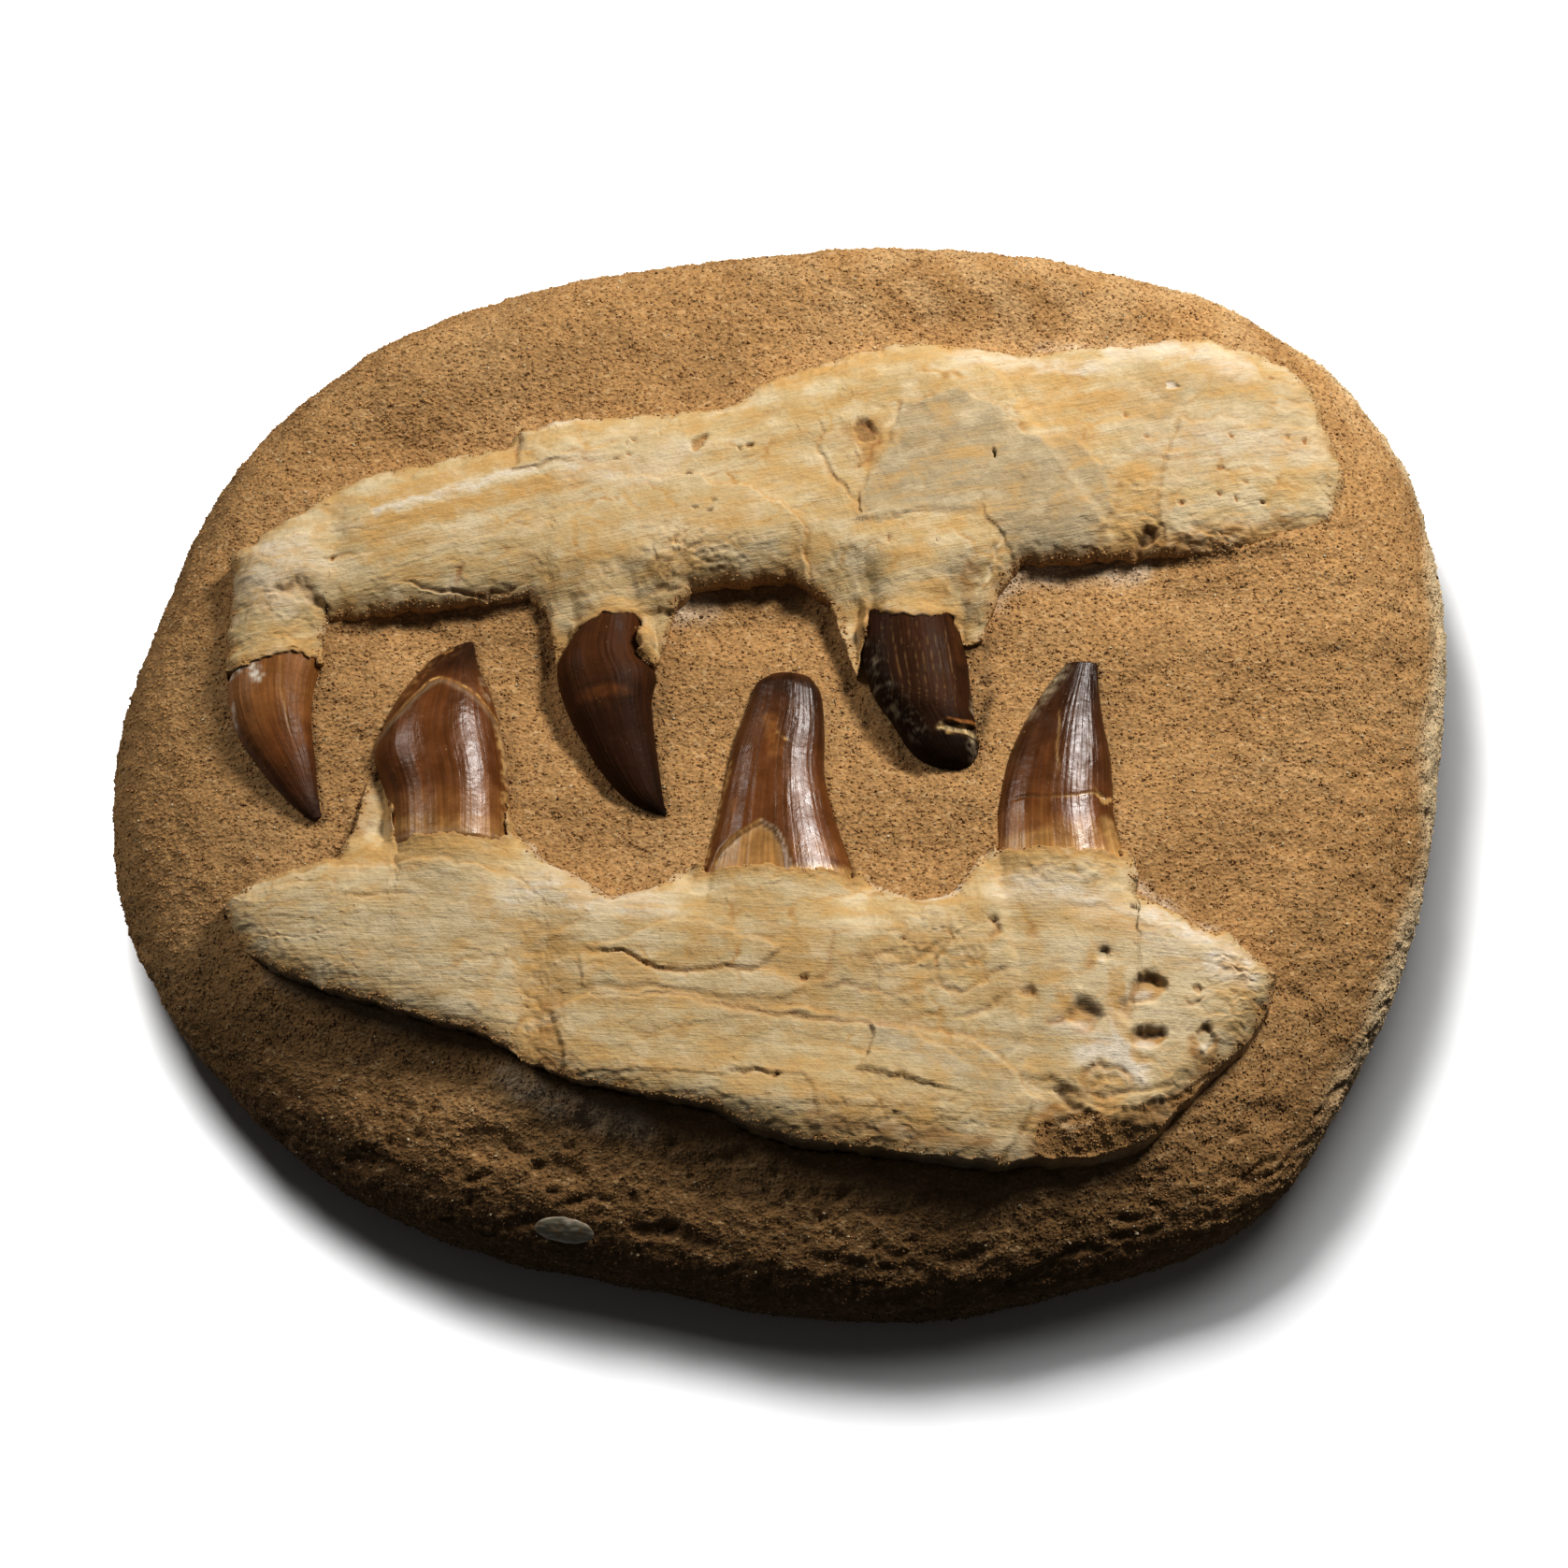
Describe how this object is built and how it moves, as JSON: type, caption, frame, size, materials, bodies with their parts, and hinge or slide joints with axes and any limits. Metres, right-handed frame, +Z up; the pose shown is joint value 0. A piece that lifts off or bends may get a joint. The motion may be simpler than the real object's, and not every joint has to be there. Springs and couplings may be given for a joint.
{
  "type": "fossil mosasaur jaw",
  "caption": "Fossil jaw bones with dark curved tooth crowns lying in a rounded slab of sandy matrix, flat underneath for display on a table or shelf.",
  "frame": {"origin": "under the middle of the slab, on its flat base", "axes": "+X to the right along the jaws, towards their rear end, -Y towards the viewer, on the lower jaw's side, +Z up out of the slab"},
  "size_m": [0.3038, 0.2563, 0.0542],
  "materials": {
    "matrix": "rough granular sandy matrix, ochre brown",
    "bone": "dry fibrous cream bone with ochre stains and cracks",
    "upper_enamel": "dark brown semi-gloss enamel with fine lengthwise lines",
    "lower_enamel": "warm brown glossy enamel with fine lengthwise lines",
    "shell": "smooth grey shell"
  },
  "bodies": {
    "root": {"matrix_slab": "matrix", "upper_jaw_bone": "bone", "lower_jaw_bone": "bone", "upper_tooth_front": "upper_enamel", "upper_tooth_middle": "upper_enamel", "upper_tooth_rear": "upper_enamel", "lower_tooth_front": "lower_enamel", "lower_tooth_middle": "lower_enamel", "lower_tooth_rear": "lower_enamel", "shell_fragment": "shell"}
  },
  "joints": []
}
